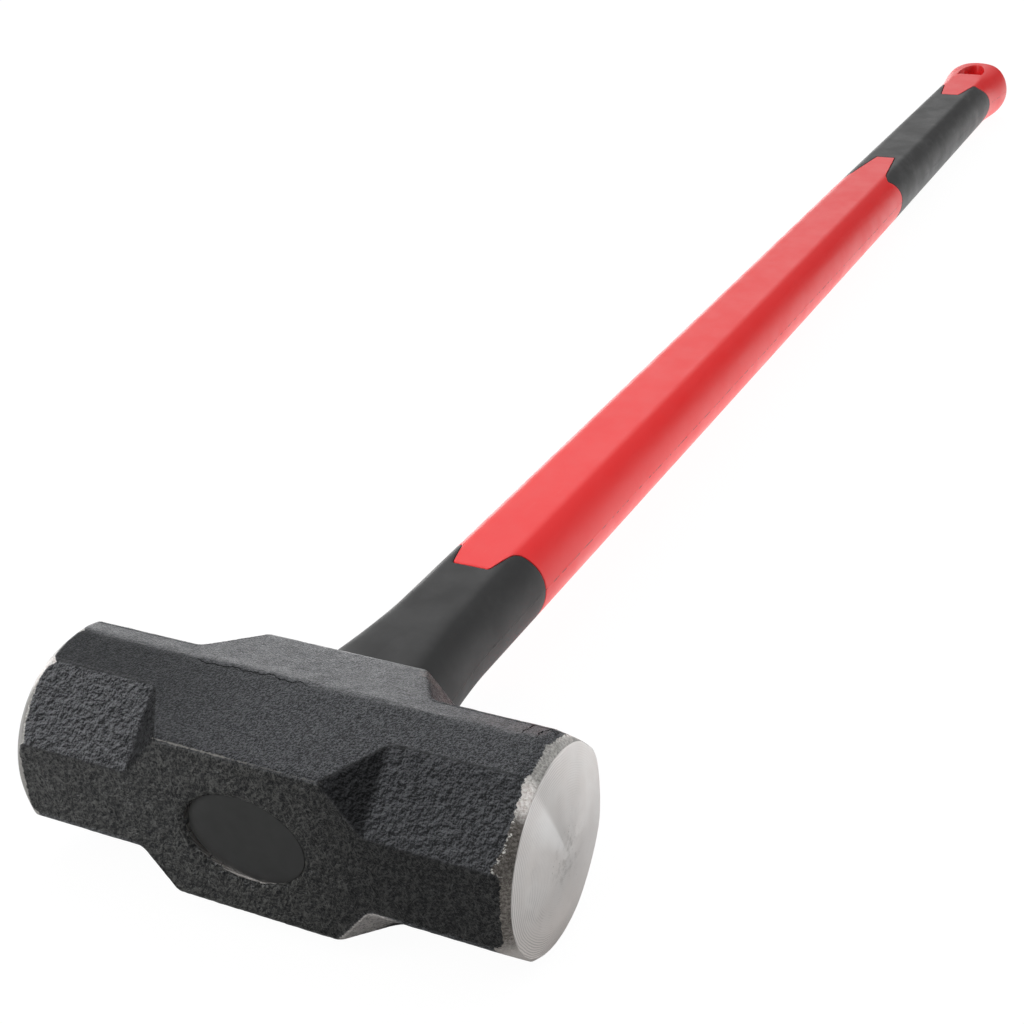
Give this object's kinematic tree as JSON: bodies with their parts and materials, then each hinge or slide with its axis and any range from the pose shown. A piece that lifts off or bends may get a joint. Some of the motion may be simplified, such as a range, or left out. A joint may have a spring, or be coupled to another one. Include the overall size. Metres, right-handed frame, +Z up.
{
  "type": "sledgehammer",
  "caption": "Long-handled double-faced sledgehammer: octagonal forged steel head, oval eye with a black plug, red moulded handle with black grips and a lanyard slot in the butt.",
  "frame": {"origin": "middle of the flat end face of the handle's butt", "axes": "+Y along the handle and out of the butt, so the head is at negative Y; +X along the head's long axis towards one striking face; +Z up through a cheek of the head, as the hammer lies on its side"},
  "size_m": [0.1814, 0.914, 0.0704],
  "materials": {
    "forged_steel": "satin black paint over a rough forging, bare ground steel at the faces",
    "plug_plastic": "smooth satin black",
    "seal_rubber": "matt black rubber",
    "epoxy": "amber cast resin",
    "fibreglass": "pale pultruded fibreglass with lengthwise fibres",
    "jacket_plastic": "satin red moulded plastic",
    "grip_rubber": "matt black thermoplastic rubber"
  },
  "bodies": {
    "root": {"head": "forged_steel", "eye_plug": "plug_plastic", "eye_seal": "seal_rubber", "epoxy_fill": "epoxy", "fibreglass_core": "fibreglass", "handle_jacket": "jacket_plastic", "neck_grip": "grip_rubber", "rear_grip": "grip_rubber"}
  },
  "joints": []
}
